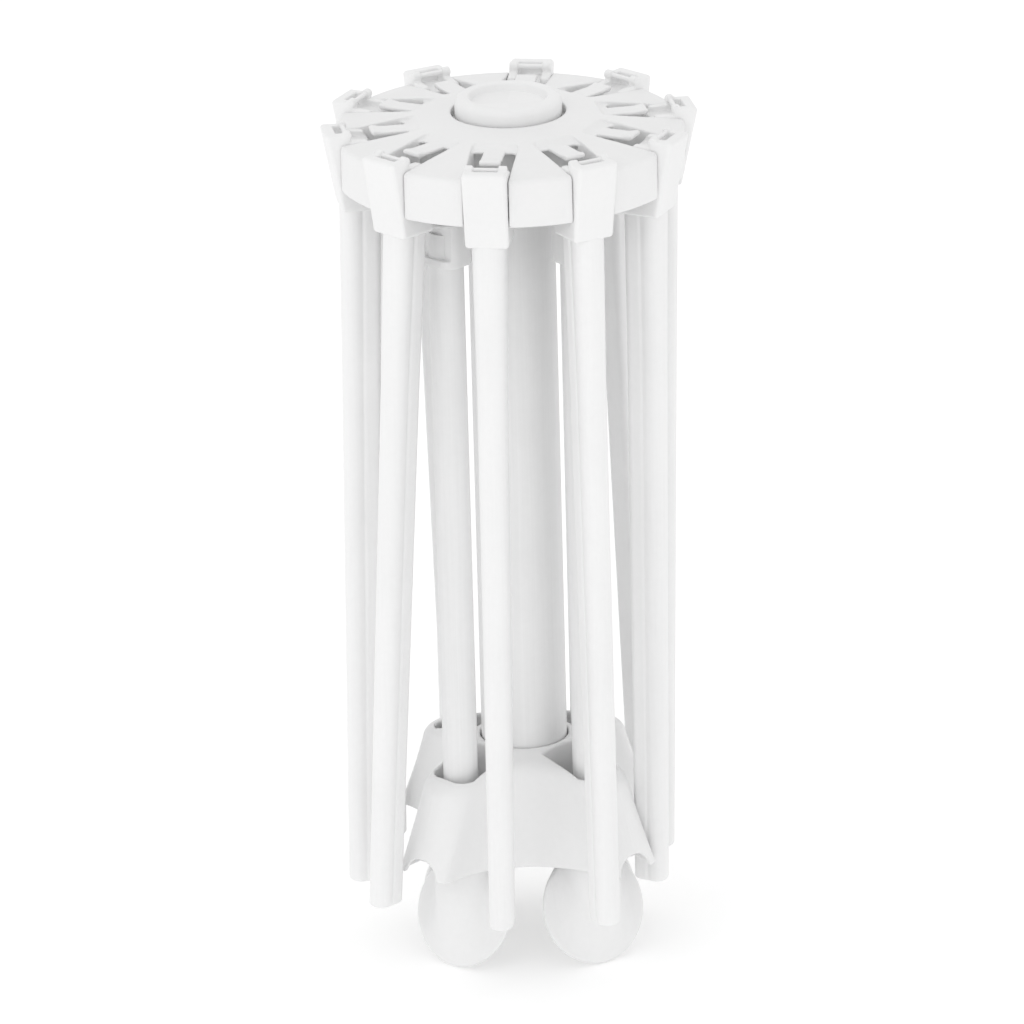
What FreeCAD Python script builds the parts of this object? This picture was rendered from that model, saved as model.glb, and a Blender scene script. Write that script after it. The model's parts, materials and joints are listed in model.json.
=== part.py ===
import FreeCAD, Part
import math
import os

import Sketcher

# Folding rotary clothes dryer, stored position: ten tapered arms hang from a slotted hub, the hub
# turns on a telescopic mast, and four legs are drawn up through a four-lobed skirt.
# Z is up, the origin is on the ground under the mast's axis, and azimuth 0 is -Y, growing to +X.

os.makedirs("parts", exist_ok=True)
doc = FreeCAD.newDocument("rotary_clothesline")

# ---------------------------------------------------------------- driving dimensions

DIMENSIONS = {
    # mast
    "mast_radius": 26.0,
    "mast_wall": 1.8,
    "mast_bottom": 74.0,
    "mast_top": 484.0,
    "inner_radius": 22.5,
    "inner_wall": 1.6,
    "inner_bottom": 92.0,
    "inner_top": 527.0,
    "running_gap": 0.06,
    "guide_length": 40.0,
    "slider_length": 30.0,
    "guide_flange": 2.0,
    "foot_plug_flange": 5.0,
    "foot_plug_floor": 3.0,
    "foot_plug_reach": 10.0,
    "foot_plug_wall": 2.5,
    "collar_radius": 31.5,
    "collar_bottom": 470.0,
    "collar_top": 489.0,
    "collar_ribs": 16,
    "collar_edge": 1.5,
    "collar_bulge": 0.6,
    "collar_lip_gap": 0.6,
    "collar_end_gap": 0.3,
    "flute_ring": 33.1,
    "flute_radius": 2.6,
    # cap and thrust washer
    "cap_radius": 31.8,
    "cap_top": 539.8,
    "cap_edge": 4.0,
    "dish_radius": 22.0,
    "dish_depth": 4.0,
    "plug_depth": 24.0,
    "plug_wall": 3.0,
    "cap_floor": 2.0,
    "dish_lip": 1.5,
    "dish_lip_drop": 0.6,
    "dish_edge_drop": 2.4,
    "dish_draft": 1.0,
    "soft_bulge": 0.5,
    "washer_radius": 30.5,
    "washer_bore_gap": 0.5,
    "washer_top_gap": 0.3,
    # hub
    "hub_radius": 104.0,
    "hub_bottom": 492.0,
    "hub_rim_top": 521.0,
    "hub_wall": 3.5,
    "hub_edge": 2.0,
    "boss_radius": 37.5,
    "boss_rise": 2.0,
    "bush_wall": 3.0,
    "bush_lift": 0.2,
    "well_radius": 34.2,
    "well_floor": 524.4,
    "well_top": 531.0,
    "well_edge": 1.0,
    "slot_width": 27.0,
    "slot_inner": 54.2,
    "slot_through": 63.5,
    "slot_floor": 524.8,
    "slot_ramp_drop": 0.6,
    "slot_ramp_bulge": 0.6,
    "slot_ramp_end": 4.0,
    "floor_thickness": 2.6,
    "cheek_wall": 3.0,
    "cheek_bottom": 494.5,
    "cheek_setback": 1.5,
    "tongue_width": 12.6,
    "tongue_end": 83.2,
    "tongue_top": 525.7,
    "tongue_thickness": 3.0,
    "tongue_root": 3.0,
    "tongue_neck": 9.0,
    "tongue_root_drop": 0.4,
    "tongue_nose": 1.2,
    "tongue_lip": 0.5,
    "tongue_lip_length": 1.2,
    "tongue_lip_back": 9.0,
    "tongue_dip": 0.6,
    # arms
    "arm_count": 10,
    "arm_ring": 90.0,
    "pivot_ring": 98.5,
    "pivot_height": 512.0,
    "pin_radius": 2.5,
    "bracket_width": 26.0,
    "bracket_bottom": 479.0,
    "bracket_top": 527.0,
    "bracket_heel": 14.5,
    "bracket_toe": 12.0,
    "bracket_brow": 22.0,
    "bracket_shelf": 8.0,
    "bracket_neck": 5.0,
    "bracket_neck_drop": 18.0,
    "bracket_back": 9.0,
    "bracket_back_drop": 27.0,
    "bracket_edge": 2.2,
    "recess_width": 15.0,
    "recess_floor": 508.0,
    "recess_out": 13.5,
    "recess_flare": 1.8,
    "knob_inset": 0.5,
    "bar_seat": 2.0,
    "knob_radius": 2.8,
    "knob_out": 9.0,
    "knob_drop": 1.0,
    "bar_radius": 1.5,
    "rod_top_depth": 24.0,
    "rod_top_width": 20.0,
    "rod_mid_depth": 22.6,
    "rod_mid_width": 17.2,
    "rod_tip_depth": 19.6,
    "rod_tip_width": 14.4,
    "rod_mid_height": 390.0,
    "rod_tip_height": 49.2,
    "rod_wall": 1.7,
    "rod_tip_edge": 3.0,
    "tenon_radius": 7.0,
    "tenon_length": 14.0,
    "tenon_wall": 2.55,
    "vent_depth": 8.0,
    # skirt
    "skirt_bottom": 66.0,
    "skirt_top": 135.0,
    "skirt_wall": 3.0,
    "socket_radius": 35.0,
    "lobe_top_reach": 56.0,
    "lobe_top_half": 18.0,
    "waist_top": 45.6,
    "lobe_foot_reach": 89.4,
    "lobe_foot_half": 17.0,
    "lobe_foot_crown": 3.6,
    "waist_foot": 54.6,
    "channel_half": 15.2,
    "channel_inner": 29.5,
    "channel_outer": 67.6,
    "channel_step": 98.0,
    "ankle_room_half": 18.2,
    "ankle_room_outer": 73.6,
    "arch_radius": 13.6,
    "arch_drop": 3.0,
    "arch_start": 50.0,
    "roof_thickness": 4.0,
    "rib_root": 20.0,
    "crest_start": 40.0,
    "crest_fall": 26.0,
    # legs and feet
    "leg_ring": 55.3,
    "leg_radius": 10.5,
    "lean_height": 82.0,
    "leg_wall": 1.5,
    "leg_bottom": 63.0,
    "leg_top": 470.0,
    "head_width": 29.6,
    "head_depth": 24.0,
    "head_bottom": 450.0,
    "head_top": 478.0,
    "head_lip": 5.3,
    "head_recess": 4.0,
    "head_flange": 1.8,
    "head_edge": 1.2,
    "head_crown": 2.5,
    "foot_radius": 34.5,
    "foot_thickness": 3.0,
    "foot_rim": 1.4,
    "sole_set": 0.5,
    "foot_tilt": 22.0,
    "foot_centre": 32.55,
    "ankle_radius": 17.5,
    "ankle_bottom": 20.0,
    "ankle_top": 97.3,
    # how far cutting shapes run past what they cut
    "over": 4.0,
}

# A quarter arc rises this share of its radius over its chord.
QUARTER_BULGE = 1 - math.sqrt(0.5)
HUB_PHASE = -8.2
# Degrees, one entry per arm in azimuth order: how far each tip stands out, and how far it drifts sideways.
ARM_LEANS = [1.8, 2.5, -0.7, -1.0, 2.1, 1.4, 0.5, 0.6, 1.5, 2.2]
ARM_DRIFTS = [-0.2, -0.8, 0.1, 0.0, 0.0, 0.0, 0.0, 0.0, 1.1, -2.3]
LEG_AZIMUTHS = {"front_left": -45.0, "front_right": 45.0, "back_right": 135.0, "back_left": -135.0}
FOOT_TURNS = {"front_left": 7.5, "front_right": -15.0, "back_right": 0.0, "back_left": 0.0}
# Degrees that a stored leg stands askew in its channel, towards -X at its head.
LEG_LEANS = {"front_left": 0.0, "front_right": 0.0, "back_right": 0.0, "back_left": 1.2}

sheet = doc.addObject("Spreadsheet::Sheet", "Sizes")


class Size:
    """A number together with the spreadsheet expression that drives it."""

    def __init__(self, number, text):
        self.number = number
        self.text = text

    def __add__(self, other):
        other = as_size(other)
        return Size(self.number + other.number, f"({self.text} + {other.text})")

    def __sub__(self, other):
        other = as_size(other)
        return Size(self.number - other.number, f"({self.text} - {other.text})")

    def __mul__(self, other):
        other = as_size(other)
        return Size(self.number * other.number, f"({self.text} * {other.text})")

    def __truediv__(self, other):
        other = as_size(other)
        return Size(self.number / other.number, f"({self.text} / {other.text})")

    def __neg__(self):
        return Size(-self.number, f"(0 - {self.text})")


def as_size(value):
    return value if isinstance(value, Size) else Size(float(value), f"{value:.6g}")


def root(value):
    value = as_size(value)
    return Size(math.sqrt(value.number), f"sqrt({value.text})")


def fill_sheet():
    sizes = {}
    for row, (alias, number) in enumerate(DIMENSIONS.items(), start=1):
        sheet.set(f"A{row}", alias)
        sheet.set(f"B{row}", str(number))
        sheet.setAlias(f"B{row}", alias)
        sizes[alias] = Size(float(number), f"Sizes.{alias}")
    doc.recompute()
    return sizes


S = fill_sheet()
nodes = []


# ---------------------------------------------------------------- drawing helpers

def bind(thing, **values):
    for prop, value in values.items():
        thing.setExpression(prop, as_size(value).text)


def bind_base(thing, x=None, y=None, z=None):
    for axis, value in (("x", x), ("y", y), ("z", z)):
        if value is not None:
            thing.setExpression(f"Placement.Base.{axis}", as_size(value).text)


def keep(thing, label):
    """Makes a finished object a sub-part that is written out under its label."""
    thing.Label = label
    nodes.append(thing)
    return thing


def turn_about_z(angle):
    return FreeCAD.Placement(FreeCAD.Vector(), FreeCAD.Rotation(FreeCAD.Vector(0, 0, 1), angle))


def outline(sketch, points):
    """Draws a closed outline whose corners are all bound to the sheet.

    A corner is (x, y), or (x, y, sagitta) when the edge that leaves it is an arc. A positive sagitta
    bulges to the right of the edge, which is outwards on a counter-clockwise outline.
    """
    corners = [(as_size(p[0]), as_size(p[1])) for p in points]
    starts = []
    ends = []
    for index, point in enumerate(points):
        x_from, y_from = corners[index]
        x_to, y_to = corners[(index + 1) % len(points)]
        start = FreeCAD.Vector(x_from.number, y_from.number, 0)
        end = FreeCAD.Vector(x_to.number, y_to.number, 0)
        if len(point) == 2:
            edge = sketch.addGeometry(Part.LineSegment(start, end), False)
        else:
            edge = sketch.addGeometry(bulged_arc(start, end, as_size(point[2]).number), False)
            bind_arc(sketch, edge, x_to - x_from, y_to - y_from, as_size(point[2]))
        first = 1 if sketch.getPoint(edge, 1).distanceToPoint(start) < 1e-4 else 2
        starts.append((edge, first))
        ends.append((edge, 3 - first))
    for index, (edge, spot) in enumerate(starts):
        previous = ends[index - 1]
        sketch.addConstraint(Sketcher.Constraint("Coincident", previous[0], previous[1], edge, spot))
    for (edge, spot), (x, y) in zip(starts, corners):
        place_corner(sketch, "DistanceX", edge, spot, x)
        place_corner(sketch, "DistanceY", edge, spot, y)


def bulged_arc(start, end, sagitta):
    along = end - start
    side = FreeCAD.Vector(along.y, -along.x, 0)
    side.normalize()
    middle = (start + end) * 0.5 + side * sagitta
    return Part.Arc(start, middle, end)


def bind_arc(sketch, edge, run, rise, sagitta):
    radius = (run * run + rise * rise) / (sagitta * 8) + sagitta / 2
    text = f"abs({radius.text})"
    number = abs(radius.number)
    index = sketch.addConstraint(Sketcher.Constraint("Radius", edge, number))
    sketch.setExpression(f"Constraints[{index}]", text)


def place_corner(sketch, kind, edge, spot, value):
    index = sketch.addConstraint(Sketcher.Constraint(kind, -1, 1, edge, spot, value.number))
    sketch.setExpression(f"Constraints[{index}]", value.text)


def circle(sketch, x, y, radius):
    x, y, radius = as_size(x), as_size(y), as_size(radius)
    centre = FreeCAD.Vector(x.number, y.number, 0)
    edge = sketch.addGeometry(Part.Circle(centre, FreeCAD.Vector(0, 0, 1), radius.number), False)
    place_corner(sketch, "DistanceX", edge, 3, x)
    place_corner(sketch, "DistanceY", edge, 3, y)
    index = sketch.addConstraint(Sketcher.Constraint("Radius", edge, radius.number))
    sketch.setExpression(f"Constraints[{index}]", radius.text)


def origin_part(body, role):
    for feature in body.Origin.OriginFeatures:
        if feature.Role == role:
            return feature
    raise ValueError(f"no {role} in {body.Name}")


def sketch_in(body, name, plane="XZ_Plane"):
    sketch = body.newObject("Sketcher::SketchObject", name)
    sketch.AttachmentSupport = [(origin_part(body, plane), "")]
    sketch.MapMode = "FlatFace"
    return sketch


def revolve(body, points, name="Turned", seam=0):
    """Turns an outline about Z; the seam angle says where the turned faces begin and end."""
    sketch = sketch_in(body, name + "Outline")
    outline(sketch, points)
    sketch.AttachmentOffset = FreeCAD.Placement(
        FreeCAD.Vector(), FreeCAD.Rotation(FreeCAD.Vector(0, 1, 0), seam))
    turned = body.newObject("PartDesign::Revolution", name)
    turned.Profile = sketch
    turned.ReferenceAxis = (origin_part(body, "Z_Axis"), [""])
    turned.Angle = 360
    return turned


def slab(body, kind, points, width, name):
    """A pad or pocket that is symmetric about the body's XZ plane."""
    sketch = sketch_in(body, name + "Outline")
    outline(sketch, points)
    feature = body.newObject(kind, name)
    feature.Profile = sketch
    feature.SideType = "Symmetric"
    bind(feature, Length=width)
    return feature


def cross_hole(body, x, z, radius, width, name):
    sketch = sketch_in(body, name + "Outline")
    circle(sketch, x, z, radius)
    feature = body.newObject("PartDesign::Pocket", name)
    feature.Profile = sketch
    feature.SideType = "Symmetric"
    bind(feature, Length=width)
    return feature


def cylinder(name, radius, height, z=None, x=None):
    solid = doc.addObject("Part::Cylinder", name)
    bind(solid, Radius=radius, Height=height)
    bind_base(solid, x=x, z=z)
    return solid


def box(name, x_low, x_high, half_width, z_low, z_high):
    solid = doc.addObject("Part::Box", name)
    x_low, half_width, z_low = as_size(x_low), as_size(half_width), as_size(z_low)
    bind(solid, Length=as_size(x_high) - x_low, Width=half_width * 2, Height=as_size(z_high) - z_low)
    bind_base(solid, x=x_low, y=-half_width, z=z_low)
    return solid


def cut(name, base, tool):
    result = doc.addObject("Part::Cut", name)
    result.Base = base
    result.Tool = tool
    return result


def common(name, base, tool):
    result = doc.addObject("Part::Common", name)
    result.Base = base
    result.Tool = tool
    return result


def fuse(name, shapes):
    result = doc.addObject("Part::MultiFuse", name)
    result.Shapes = shapes
    return result


def tube(name, outer, inner, low, high):
    low, high = as_size(low), as_size(high)
    skin = cylinder(name + "Skin", outer, high - low, low)
    bore = cylinder(name + "Bore", inner, high - low + 2, low - 1)
    return cut(name, skin, bore)


# ---------------------------------------------------------------- mast

def build_mast():
    outer_bore = S["mast_radius"] - S["mast_wall"]
    inner_bore = S["inner_radius"] - S["inner_wall"]
    keep(tube("OuterTube", S["mast_radius"], outer_bore, S["mast_bottom"], S["mast_top"]), "mast_outer_tube")
    keep(tube("InnerTube", S["inner_radius"], inner_bore, S["inner_bottom"], S["inner_top"]),
         "mast_inner_tube")

    guide = doc.addObject("PartDesign::Body", "GuideBush")
    guide_bore = S["inner_radius"] + S["running_gap"]
    revolve(guide, [
        (guide_bore, S["mast_top"] - S["guide_length"]),
        (outer_bore, S["mast_top"] - S["guide_length"]),
        (outer_bore, S["mast_top"]),
        (S["mast_radius"], S["mast_top"]),
        (S["mast_radius"], S["mast_top"] + S["guide_flange"]),
        (guide_bore, S["mast_top"] + S["guide_flange"]),
    ])
    keep(guide, "mast_guide_bush")

    keep(tube("Slider", outer_bore - S["running_gap"], S["inner_radius"], S["inner_bottom"],
              S["inner_bottom"] + S["slider_length"]), "mast_slider_bush")

    plug = doc.addObject("PartDesign::Body", "MastPlug")
    plug_bottom = S["mast_bottom"] - S["foot_plug_flange"]
    plug_top = S["mast_bottom"] + S["foot_plug_reach"]
    plug_bore = outer_bore - S["foot_plug_wall"]
    revolve(plug, [
        (0, plug_bottom),
        (S["mast_radius"], plug_bottom),
        (S["mast_radius"], S["mast_bottom"]),
        (outer_bore, S["mast_bottom"]),
        (outer_bore, plug_top),
        (plug_bore, plug_top),
        (plug_bore, plug_bottom + S["foot_plug_floor"]),
        (0, plug_bottom + S["foot_plug_floor"]),
    ])
    keep(plug, "mast_foot_plug")


def build_collar():
    """Twist collar that clamps the inner tube; it turns on the outer tube's end."""
    body = doc.addObject("PartDesign::Body", "Collar")
    bore = S["mast_radius"] + S["running_gap"]
    lip_bore = S["inner_radius"] + S["collar_lip_gap"]
    lip_height = S["mast_top"] + S["guide_flange"] + S["collar_end_gap"]
    edge = S["collar_edge"]
    revolve(body, [
        (bore, S["collar_bottom"]),
        (S["collar_radius"] - edge, S["collar_bottom"], S["collar_bulge"]),
        (S["collar_radius"], S["collar_bottom"] + edge),
        (S["collar_radius"], S["collar_top"] - edge, S["collar_bulge"]),
        (S["collar_radius"] - edge, S["collar_top"]),
        (lip_bore, S["collar_top"]),
        (lip_bore, lip_height),
        (bore, lip_height),
    ])
    flute = body.newObject("PartDesign::Pocket", "Flute")
    sketch = sketch_in(body, "FluteOutline", "XY_Plane")
    circle(sketch, S["flute_ring"], 0, S["flute_radius"])
    flute.Profile = sketch
    flute.Reversed = True
    bind(flute, Length=S["collar_top"] + S["over"])
    ring = body.newObject("PartDesign::PolarPattern", "Flutes")
    ring.Originals = [flute]
    ring.Axis = (origin_part(body, "Z_Axis"), [""])
    ring.Angle = 360
    ring.Occurrences = int(DIMENSIONS["collar_ribs"])
    body.Tip = ring
    keep(body, "mast_twist_collar")


def build_cap():
    body = doc.addObject("PartDesign::Body", "Cap")
    seat = S["inner_top"]
    plug = S["inner_radius"] - S["inner_wall"]
    revolve(body, [
        (0, seat - S["cap_floor"]),
        (plug - S["plug_wall"], seat - S["cap_floor"]),
        (plug - S["plug_wall"], seat - S["plug_depth"]),
        (plug, seat - S["plug_depth"]),
        (plug, seat),
        (S["cap_radius"], seat),
        (S["cap_radius"], S["cap_top"] - S["cap_edge"], S["cap_edge"] * QUARTER_BULGE),
        (S["cap_radius"] - S["cap_edge"], S["cap_top"], S["soft_bulge"]),
        (S["dish_radius"] + S["dish_lip"], S["cap_top"] - S["dish_lip_drop"], S["soft_bulge"]),
        (S["dish_radius"], S["cap_top"] - S["dish_edge_drop"]),
        (S["dish_radius"] - S["dish_draft"], S["cap_top"] - S["dish_depth"]),
        (0, S["cap_top"] - S["dish_depth"]),
    ])
    keep(body, "mast_cap")

    keep(tube("Washer", S["washer_radius"], S["inner_radius"] + S["washer_bore_gap"], S["well_floor"],
              S["inner_top"] - S["washer_top_gap"]), "thrust_washer")


# ---------------------------------------------------------------- hub

def crown_height(radius):
    """Height of the hub's conical top at a radius."""
    fall = (S["well_top"] - S["hub_rim_top"]) / (S["hub_radius"] - S["well_radius"])
    return S["well_top"] - (as_size(radius) - S["well_radius"]) * fall


def build_hub():
    body = doc.addObject("PartDesign::Body", "Hub")
    inside = S["hub_radius"] - S["hub_wall"]
    bush = S["mast_radius"]
    edge = S["hub_edge"]
    revolve(body, [
        (bush, S["hub_bottom"] + S["boss_rise"]),
        (S["boss_radius"], S["hub_bottom"] + S["boss_rise"]),
        (S["boss_radius"], crown_height(S["boss_radius"]) - S["hub_wall"]),
        (inside, crown_height(inside) - S["hub_wall"]),
        (inside, S["hub_bottom"]),
        (S["hub_radius"] - edge, S["hub_bottom"], edge * QUARTER_BULGE),
        (S["hub_radius"], S["hub_bottom"] + edge),
        (S["hub_radius"], S["hub_rim_top"] - edge, edge * 0.25),
        (S["hub_radius"] - edge, crown_height(S["hub_radius"] - edge)),
        (S["well_radius"] + S["well_edge"], crown_height(S["well_radius"] + S["well_edge"]), 0.2),
        (S["well_radius"], S["well_top"] - S["well_edge"]),
        (S["well_radius"], S["well_floor"]),
        (bush, S["well_floor"]),
    ], "Crown", 180 / DIMENSIONS["arm_count"])
    width = S["slot_width"]
    wall = S["cheek_wall"]
    setback = S["cheek_setback"]
    reach = S["hub_radius"] - setback
    over = S["over"]
    cheek_in = S["slot_inner"] - wall
    cheeks = slab(body, "PartDesign::Pad", [
        (cheek_in, S["cheek_bottom"]),
        (reach, S["cheek_bottom"]),
        (reach, crown_height(reach) - setback),
        (cheek_in, crown_height(cheek_in) - setback),
    ], width + wall * 2, "Cheeks")
    slot = slab(body, "PartDesign::Pocket", [
        (S["slot_through"], S["hub_bottom"] - over),
        (S["hub_radius"] + over, S["hub_bottom"] - over),
        (S["hub_radius"] + over, S["well_top"] + over),
        (S["slot_inner"], S["well_top"] + over),
        (S["slot_inner"], crown_height(S["slot_inner"]) - S["slot_ramp_drop"], -S["slot_ramp_bulge"]),
        (S["slot_through"] - S["slot_ramp_end"], S["slot_floor"]),
        (S["slot_through"], S["slot_floor"]),
    ], width, "Slot")
    hollow = slab(body, "PartDesign::Pocket", [
        (S["slot_inner"], S["hub_bottom"]),
        (S["slot_through"] + over, S["hub_bottom"]),
        (S["slot_through"] + over, S["slot_floor"] - S["floor_thickness"]),
        (S["slot_inner"], S["slot_floor"] - S["floor_thickness"]),
    ], width, "Hollow")
    top, end = S["tongue_top"], S["tongue_end"]
    low = top - S["tongue_thickness"]
    root = S["slot_inner"] + S["tongue_root"]
    nose, lip = S["tongue_nose"], S["tongue_lip"]
    tongue = slab(body, "PartDesign::Pad", [
        (root, low),
        (end - nose, low, S["soft_bulge"]),
        (end, low + nose),
        (end, top - lip, lip / 2),
        (end - S["tongue_lip_length"], top + lip, lip / 2),
        (end - S["tongue_lip_back"], top - S["tongue_dip"]),
        (S["slot_inner"] + S["tongue_neck"], top - S["tongue_dip"]),
        (root, top - S["tongue_root_drop"]),
    ], S["tongue_width"], "Tongue")
    pin_hole = cross_hole(body, S["pivot_ring"], S["pivot_height"], S["pin_radius"],
                          width + wall * 2 + over, "PinHole")
    ring = body.newObject("PartDesign::PolarPattern", "Slots")
    ring.Originals = [cheeks, slot, hollow, tongue, pin_hole]
    ring.Axis = (origin_part(body, "Z_Axis"), [""])
    ring.Angle = 360
    ring.Occurrences = int(DIMENSIONS["arm_count"])
    body.Tip = ring
    body.Placement = turn_about_z(HUB_PHASE - 90)
    keep(body, "hub_shell")

    bush_body = doc.addObject("PartDesign::Body", "HubBush")
    bore = S["inner_radius"] + S["running_gap"]
    low = S["collar_top"] + S["bush_lift"]
    flange = S["boss_radius"] - S["bush_wall"]
    revolve(bush_body, [
        (bore, low),
        (flange, low),
        (flange, S["hub_bottom"] + S["boss_rise"]),
        (bush, S["hub_bottom"] + S["boss_rise"]),
        (bush, S["well_floor"]),
        (bore, S["well_floor"]),
    ])
    keep(bush_body, "hub_bush")


def build_hinge_pins():
    """The ten hinge pins are pressed into the hub's cheeks."""
    length = S["slot_width"] + S["cheek_wall"] * 2
    pins = []
    for number in range(int(DIMENSIONS["arm_count"])):
        pin = cylinder(f"Pin{number + 1}", S["pin_radius"], length)
        lying = FreeCAD.Placement(
            FreeCAD.Vector(DIMENSIONS["pivot_ring"], length.number / 2, DIMENSIONS["pivot_height"]),
            FreeCAD.Rotation(FreeCAD.Vector(1, 0, 0), 90),
        )
        pin.Placement = turn_about_z(arm_azimuth(number) - 90) * lying
        pins.append(pin)
    group = doc.addObject("Part::Compound", "HingePins")
    group.Links = pins
    keep(group, "arm_hinge_pins")


# ---------------------------------------------------------------- arms

def arm_azimuth(number):
    return HUB_PHASE + number * 360 / DIMENSIONS["arm_count"]


def arm_placement(number):
    """Stands an arm in its slot, leaning outwards about its own hinge pin."""
    pivot = FreeCAD.Vector(DIMENSIONS["pivot_ring"], 0, DIMENSIONS["pivot_height"])
    lean = FreeCAD.Placement(
        FreeCAD.Vector(), FreeCAD.Rotation(FreeCAD.Vector(0, 1, 0), -ARM_LEANS[number]), pivot)
    return turn_about_z(arm_azimuth(number) - 90) * lean


def build_bracket(number):
    body = doc.addObject("PartDesign::Body", f"Bracket{number + 1}")
    ring, bottom, top = S["arm_ring"], S["bracket_bottom"], S["bracket_top"]
    block = slab(body, "PartDesign::Pad", [
        (ring - S["bracket_heel"], bottom),
        (ring + S["bracket_toe"], bottom),
        (ring + S["bracket_brow"], top),
        (ring + S["bracket_shelf"], top),
        (ring - S["bracket_neck"], top - S["bracket_neck_drop"]),
        (ring - S["bracket_back"], top - S["bracket_back_drop"]),
    ], S["bracket_width"], "Block")
    doc.recompute()
    rounding = body.newObject("PartDesign::Fillet", "Rounding")
    front = DIMENSIONS["arm_ring"] + DIMENSIONS["bracket_toe"] - 1
    rounding.Base = (block, edges_beyond(block.Shape, front))
    bind(rounding, Radius=S["bracket_edge"])
    over = S["over"]
    recess_in, recess_out = ring - S["bracket_heel"] - over, ring + S["recess_out"]
    slab(body, "PartDesign::Pocket", [
        (recess_in, S["recess_floor"]),
        (recess_out, S["recess_floor"]),
        (recess_out + S["recess_flare"], top + over),
        (recess_in, top + over),
    ], S["recess_width"], "Recess")
    knob_u, knob_z = ring + S["knob_out"], top - S["knob_drop"]
    ears = sketch_in(body, "KnobOutline")
    circle(ears, knob_u, knob_z, S["knob_radius"])
    knobs = body.newObject("PartDesign::Pad", "Knobs")
    knobs.Profile = ears
    knobs.SideType = "Symmetric"
    bind(knobs, Length=S["bracket_width"] - S["knob_inset"] * 2)
    slab(body, "PartDesign::Pocket", [
        (recess_in, S["recess_floor"]),
        (recess_out, S["recess_floor"]),
        (recess_out, top + over),
        (recess_in, top + over),
    ], S["recess_width"], "KnobGap")
    rail = sketch_in(body, "BarOutline")
    circle(rail, knob_u, knob_z, S["bar_radius"])
    bar = body.newObject("PartDesign::Pad", "Bar")
    bar.Profile = rail
    bar.SideType = "Symmetric"
    bind(bar, Length=S["recess_width"] + S["bar_seat"] * 2)
    cross_hole(body, S["pivot_ring"], S["pivot_height"], S["pin_radius"] + S["running_gap"],
               S["bracket_width"] + over, "PinBore")
    socket_sketch = sketch_in(body, "SocketOutline", "XY_Plane")
    circle(socket_sketch, ring, 0, S["tenon_radius"])
    socket = body.newObject("PartDesign::Pocket", "Socket")
    socket.Profile = socket_sketch
    socket.Reversed = True
    bind(socket, Length=bottom + S["tenon_length"])
    body.Tip = socket
    body.Placement = arm_placement(number)
    keep(body, f"arm_bracket_{number + 1:02d}")


def edges_beyond(shape, distance):
    """Edges whose ends both lie further out than a distance along X."""
    names = []
    for index, edge in enumerate(shape.Edges, start=1):
        if all(vertex.X > distance for vertex in edge.Vertexes):
            names.append(f"Edge{index}")
    return names


def build_rod(number):
    """A hollow oval rod, closed at its tip, with a vented tenon that sits in the bracket's socket."""
    sections = []
    linings = []
    cap = S["rod_wall"] * 2
    stations = [
        ("Top", S["rod_top_depth"], S["rod_top_width"], S["bracket_bottom"], -cap),
        ("Mid", S["rod_mid_depth"], S["rod_mid_width"], S["rod_mid_height"], as_size(0)),
        ("Tip", S["rod_tip_depth"], S["rod_tip_width"], S["rod_tip_height"], cap),
    ]
    slope = math.tan(math.radians(ARM_DRIFTS[number]))
    for station, depth, width, height, inset in stations:
        drift = (S["bracket_bottom"] - height) * slope
        oval = doc.addObject("Part::Ellipse", f"Rod{number + 1}{station}")
        bind(oval, MajorRadius=depth / 2, MinorRadius=width / 2)
        bind_base(oval, x=S["arm_ring"], y=drift, z=height)
        sections.append(oval)
        lining = doc.addObject("Part::Ellipse", f"Rod{number + 1}{station}Lining")
        bind(lining, MajorRadius=depth / 2 - S["rod_wall"], MinorRadius=width / 2 - S["rod_wall"])
        bind_base(lining, x=S["arm_ring"], y=drift, z=height + inset)
        linings.append(lining)
    taper = doc.addObject("Part::Loft", f"Rod{number + 1}Taper")
    taper.Sections = sections
    taper.Solid = True
    hollow = doc.addObject("Part::Loft", f"Rod{number + 1}Hollow")
    hollow.Sections = linings
    hollow.Solid = True
    doc.recompute()
    rounded = doc.addObject("Part::Fillet", f"Rod{number + 1}Rounded")
    rounded.Base = taper
    radius = DIMENSIONS["rod_tip_edge"]
    lowest = DIMENSIONS["rod_tip_height"] + DIMENSIONS["rod_tip_edge"]
    rounded.Edges = [
        (index, radius, radius)
        for index, edge in enumerate(taper.Shape.Edges, start=1)
        if edge.BoundBox.ZMax < lowest
    ]
    root_height = S["bracket_bottom"] - S["rod_wall"]
    tenon = cylinder(f"Rod{number + 1}Tenon", S["tenon_radius"], S["tenon_length"] + S["rod_wall"],
                     root_height, S["arm_ring"])
    vent = cylinder(f"Rod{number + 1}Vent", S["tenon_radius"] - S["tenon_wall"],
                    S["tenon_length"] + S["vent_depth"] + S["over"],
                    S["bracket_bottom"] - S["vent_depth"], S["arm_ring"])
    rod = cut(f"Rod{number + 1}", fuse(f"Rod{number + 1}Outer", [rounded, tenon]),
              fuse(f"Rod{number + 1}Inner", [hollow, vent]))
    rod.Placement = arm_placement(number)
    keep(rod, f"arm_rod_{number + 1:02d}")


# ---------------------------------------------------------------- skirt

def lobe_outline(name, reach, half, crown, waist, height):
    """Four lobes on the X and Y axes, joined by hollow flanks that pass the waist on the diagonals."""
    sketch = doc.addObject("Sketcher::SketchObject", name)
    reach, half, crown, waist = as_size(reach), as_size(half), as_size(crown), as_size(waist)
    diagonal = root(as_size(2))
    dip = ((reach + half) / 2 * diagonal) - waist
    outline(sketch, [
        (reach, -half, crown),
        (reach, half, -dip),
        (half, reach, crown),
        (-half, reach, -dip),
        (-reach, half, crown),
        (-reach, -half, -dip),
        (-half, -reach, crown),
        (half, -reach, -dip),
    ])
    bind_base(sketch, z=height)
    return sketch


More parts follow.
